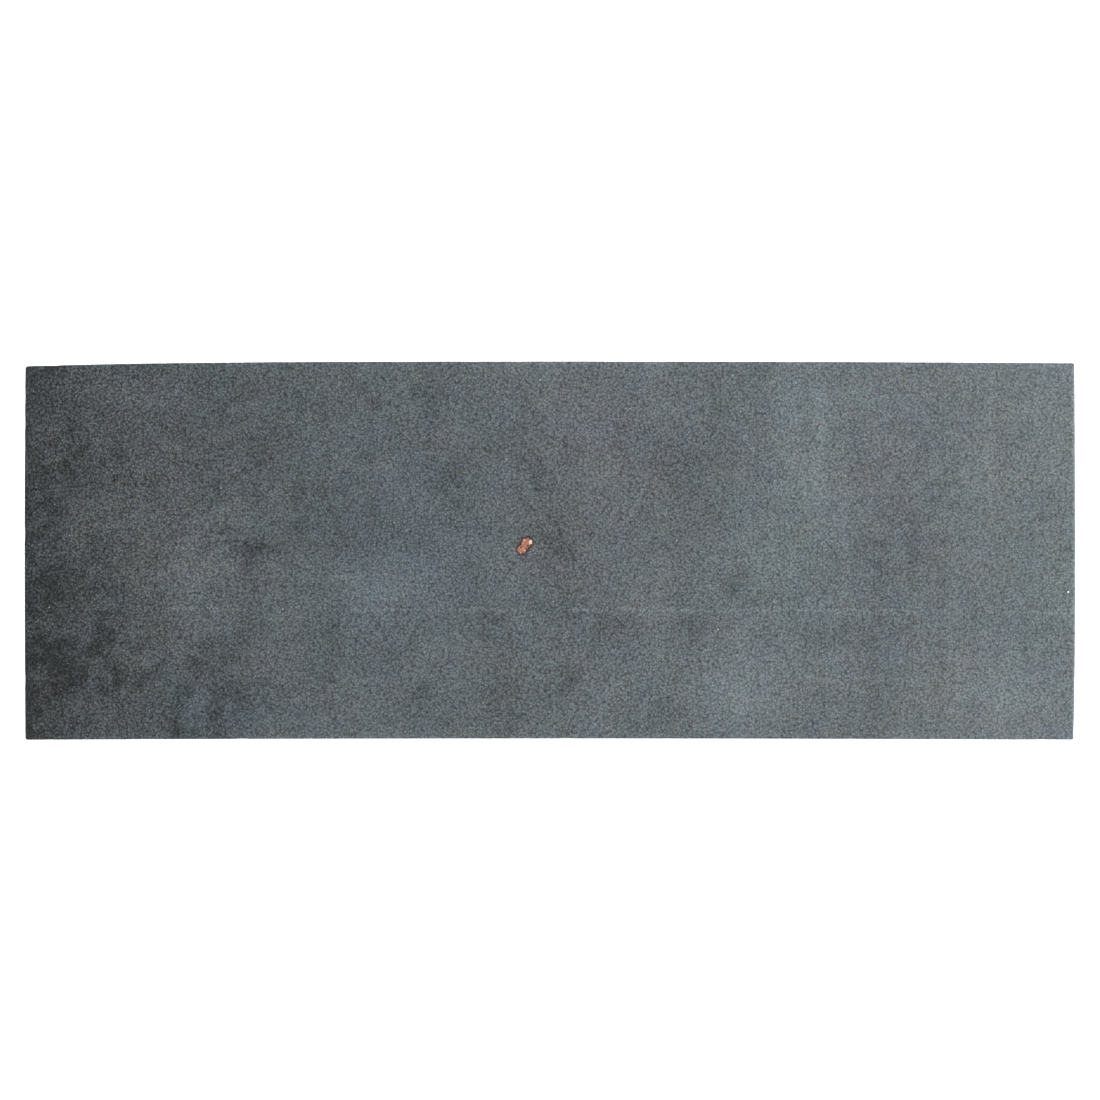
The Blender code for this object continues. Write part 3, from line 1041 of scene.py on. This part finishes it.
def makeFleckGraph():
    graph = geometryGraph("flecks", fleckSizes)
    given = graph.add("NodeGroupInput", out="Length")
    seed = given.out("Seed")
    corners = {"Size X": given, "Size Y": given.out("Width"), "Vertices X": 2, "Vertices Y": 2}
    sheet = graph.add("GeometryNodeMeshGrid", None, corners)
    raised = {"Geometry": sheet, "Offset": graph.join(0.0, 0.0, given.out("Level"))}
    level = graph.add("GeometryNodeSetPosition", None, raised)
    crowd = {"Mesh": level, "Density": given.out("Density"), "Seed": seed}
    way = {"distribute_method": "RANDOM"}
    scattered = graph.add("GeometryNodeDistributePointsOnFaces", way, crowd, "Points")
    limits = {2: given.out("Smallest"), 3: given.out("Largest"), "Seed": seed}
    size = graph.add("FunctionNodeRandomValue", {"data_type": "FLOAT"}, limits, 1)
    flake = graph.add("GeometryNodeMeshIcoSphere", None, {"Radius": 1.0, "Subdivisions": 1})

    def flakesOn(points, radius):
        angles = {0: (-fleckTilt, -fleckTilt, 0.0), 1: (fleckTilt, fleckTilt, 6.28), "Seed": seed}
        turn = graph.add("FunctionNodeRandomValue", {"data_type": "FLOAT_VECTOR"}, angles)
        scale = graph.join(radius, radius, given.out("Half thickness"))
        values = {"Points": points, "Instance": flake, "Rotation": turn, "Scale": scale}
        return graph.add("GeometryNodeInstanceOnPoints", None, values)

    byHand = graph.add("NodeGroupInput", out="Geometry")
    width = graph.add("GeometryNodeInputNamedAttribute", {"data_type": "FLOAT"}, {"Name": "radius"})
    joined = graph.add("GeometryNodeJoinGeometry")
    for flakes in (flakesOn(scattered, size), flakesOn(byHand, width)):
        graph.tree.links.new(flakes.socket, joined.socket.node.inputs[0])
    endGeometry(graph, joined, given)
    return graph


def makeFleckMaterial():
    material, graph = newMaterial("fleckSpar")
    place = placeInMm(graph)
    pick = graph.noise(place, 3.0, detail=1.0)
    grey = display(150, 156, 160)
    pale = display(196, 192, 186)
    rose = display(150, 118, 112)
    colour = graph.ramp(pick, [(0.30, rose), (0.42, grey), (0.55, grey), (0.66, pale)])
    # the largest one, at the right end, is white
    whiteX, whiteY, whiteSize = [value / mm for value in placedFlecks[0]]
    away = graph.vector("DISTANCE", place, (whiteX, whiteY, stoneTopMm), out="Value")
    onWhite = graph.ease(away, whiteSize * 2, whiteSize * 1.5)
    colour = graph.mix(onWhite, colour, rgba(display(240, 242, 244)))
    roughness = graph.ease(graph.noise(place, 0.2), 0.3, 0.7, 0.18, 0.40)
    finishMaterial(graph, {"Base Color": colour, "Roughness": roughness})
    return material


def makeFlecks():
    base = bpy.data.meshes.new("placedFlecks")
    base.from_pydata([(*fleck[:2], fleckSizes["Level"]) for fleck in placedFlecks], [], [])
    radii = base.attributes.new("radius", "FLOAT", "POINT")
    for item, fleck in zip(radii.data, placedFlecks):
        item.value = fleck[2]
    piece = newPiece("sparFlecks", base)
    runGeometry(piece, makeFleckGraph(), fleckSizes, makeFleckMaterial())
    mesh = plainMesh(piece)
    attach(piece, "root")
    print("flecks made:", len(mesh.polygons), "faces")


makeFlecks()

# Feet: moulded rubber, turned from a profile, with tread rings in the sole
foot = {
    "sides": 96,
    "soleRadius": 0.0088,
    "rounding": 0.0008,
    "roundingSteps": 8,
    "recessRadius": 0.0040,
    "recessDepth": 0.0006,
    "recessRounding": 0.0003,
    "recessLip": [(0.0002, 0.00012), (0.00042, 0.0)],  # out from the recess, and up from the sole
    "nubRadius": 0.0006,
    "nubHeight": 0.00025,
    "treadRings": (0.0052, 0.0062, 0.0072),
    "treadDepth": 0.00025,
    "treadHalf": 0.00022,
    "land": 0.0008,
    "flash": 0.00012,  # how far the land's moulded edge stands out from the side
    # that edge's outline: in from the foot's radius, and up from the land's foot
    "flashLine": [
        (0.000288, -0.00035),
        (0.00012, -0.0001),
        (0.0, 0.0),
        (0.0, 0.00012),
        (0.00012, 0.00022),
    ],
    "topRounding": 0.0003,
    "cornerSteps": 4,
}


def arcPoints(centreR, centreZ, radius, start, end, steps):
    turns = [math.radians(start + (end - start) * i / steps) for i in range(steps + 1)]
    return [(centreR + radius * math.cos(t), centreZ + radius * math.sin(t)) for t in turns]


def footProfile(radius, height):
    # from the axis at the sole, out and up the side, and back to the axis on top
    nub, deep = foot["nubRadius"], foot["recessDepth"]
    points = [(0.0, deep - foot["nubHeight"]), (nub * 0.7, deep - foot["nubHeight"])]
    points += [(nub, deep - foot["nubHeight"] * 0.6), (nub * 1.2, deep)]
    recess, soft = foot["recessRadius"], foot["recessRounding"]
    points += arcPoints(recess - soft, deep - soft, soft, 90, 20, foot["cornerSteps"])
    points += [(recess + outward, up) for outward, up in foot["recessLip"]]
    half, depth = foot["treadHalf"], foot["treadDepth"]
    for ring in foot["treadRings"]:
        points += [(ring - half, 0.0), (ring - half * 0.5, depth)]
        points += [(ring + half * 0.5, depth), (ring + half, 0.0)]
    corner = foot["rounding"]
    points += arcPoints(foot["soleRadius"] - corner, corner, corner, -90, 0, foot["roundingSteps"])
    landLow = height - foot["land"]
    points += [(radius - inward, landLow + up) for inward, up in foot["flashLine"]]
    side, edge = radius - foot["flash"], foot["topRounding"]
    points += arcPoints(side - edge, height - edge, edge, 0, 90, foot["cornerSteps"])
    return points + [(0.0, height)]


def turnedMesh(name, profile, sides):
    bm = bmesh.new()
    verts = [bm.verts.new((radius, 0.0, level)) for radius, level in profile]
    edges = [bm.edges.new(pair) for pair in zip(verts, verts[1:])]
    line = verts + edges
    bmesh.ops.spin(bm, geom=line, axis=(0, 0, 1), angle=2 * math.pi, steps=sides, use_merge=True)
    bmesh.ops.remove_doubles(bm, verts=bm.verts, dist=1e-6)
    bmesh.ops.recalc_face_normals(bm, faces=bm.faces)
    mesh = bpy.data.meshes.new(name)
    bm.to_mesh(mesh)
    bm.free()
    return mesh


def makeRubber():
    material, graph = newMaterial("blackRubber")
    place = placeInMm(graph)
    z = graph.split(place)[2]
    skin = graph.noise(place, 0.16, detail=3.0, roughness=0.7)
    blotch = graph.noise(place, 3.2, detail=3.0)
    dust = graph.ease(z, 0.9, 0.0) * graph.ease(blotch, 0.35, 0.7, 0.25, 0.9)
    colour = graph.mix(dust * 0.55, rgba(display(33, 33, 35)), rgba(display(92, 89, 84)))
    colour = graph.scaled(colour, graph.ease(blotch, 0.3, 0.7, 0.82, 1.2))
    roughness = graph.ease(blotch, 0.3, 0.7, 0.58, 0.76) + dust * 0.12
    normal = bumped(graph, skin * 0.05, 0.7)
    finishMaterial(graph, {"Base Color": colour, "Roughness": roughness, "Normal": normal})
    return material


def makeFoam():
    material, graph = newMaterial("adhesiveFoam")
    place = placeInMm(graph)
    pores = graph.cells(place, 0.22, out="Distance")
    wide = graph.noise(place, 1.6, detail=3.0)
    poreShadeAndBump = graph.ease(pores, 0.10, 0.55, 0.62, 1.0)
    clean = rgba(display(206, 205, 198))
    stained = rgba(display(178, 175, 164))
    colour = graph.mix(graph.ease(wide, 0.35, 0.7), clean, stained)
    # darker in the pores: painted shade
    colour = graph.scaled(colour, poreShadeAndBump)
    normal = bumped(graph, poreShadeAndBump * 0.08)
    finishMaterial(graph, {"Base Color": colour, "Roughness": 0.85, "Normal": normal})
    return material


# Adhesive: a die-cut foam disc between each foot and the stone, a little squeezed out
disc = {
    "radius": 0.0092,
    "bulge": 0.00016,
    "rows": 10,
    "sides": 120,
    "ragged": 0.00006,
    # waves of the cut edge: how many go round, the turn, and the turn for each metre of height
    "waves": [(11, 1, 0), (23, 2, 0), (37, 3, 3000)],
    "press": 0.00005,  # into the stone's uneven underside
}


def discProfile(low, high):
    points = [(0.0, low)]
    for i in range(disc["rows"] + 1):
        share = i / disc["rows"]
        swell = disc["bulge"] * math.sin(math.pi * share)
        points.append((disc["radius"] - disc["bulge"] + swell, low + (high - low) * share))
    return points + [(0.0, high)]


def roughenEdge(mesh, seedTurn):  # the cut edge wanders by a few hundredths of a millimetre
    for vert in mesh.vertices:
        angle = math.atan2(vert.co.y, vert.co.x)
        radius = math.hypot(vert.co.x, vert.co.y)
        if radius > disc["radius"] * 0.9:
            wave = 0.0
            for count, turn, rise in disc["waves"]:
                wave += math.sin(count * angle + turn * seedTurn + vert.co.z * rise)
            vert.co.xy *= 1 + disc["ragged"] * wave / len(disc["waves"]) / radius


def finishTurned(mesh, shift, material):
    mesh.transform(shift)
    mesh.materials.append(material)
    mesh.shade_smooth()
    mesh.set_sharp_from_angle(angle=math.radians(50))


def makeFeet():
    rubber = makeRubber()
    foam = makeFoam()
    for number, corner in enumerate(("front_left", "front_right", "back_left", "back_right")):
        low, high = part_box("foot_" + corner)
        middle = (low + high) / 2
        mesh = turnedMesh("foot_" + corner, footProfile((high.x - low.x) / 2, high.z), foot["sides"])
        shift = Matrix.Translation((middle.x, middle.y, 0))
        finishTurned(mesh, shift, rubber)
        label = "".join(word.capitalize() for word in corner.split("_"))
        piece = newPiece("foot" + label, mesh)
        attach(piece, "root")
        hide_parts("foot_" + corner)

        mesh = turnedMesh("pad_" + corner, discProfile(high.z, stoneBottom + disc["press"]), disc["sides"])
        roughenEdge(mesh, 1.3 + number)
        finishTurned(mesh, shift, foam)
        piece = newPiece("pad" + label, mesh)
        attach(piece, "root")
        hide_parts("adhesive_" + corner)
    print("feet made")


makeFeet()
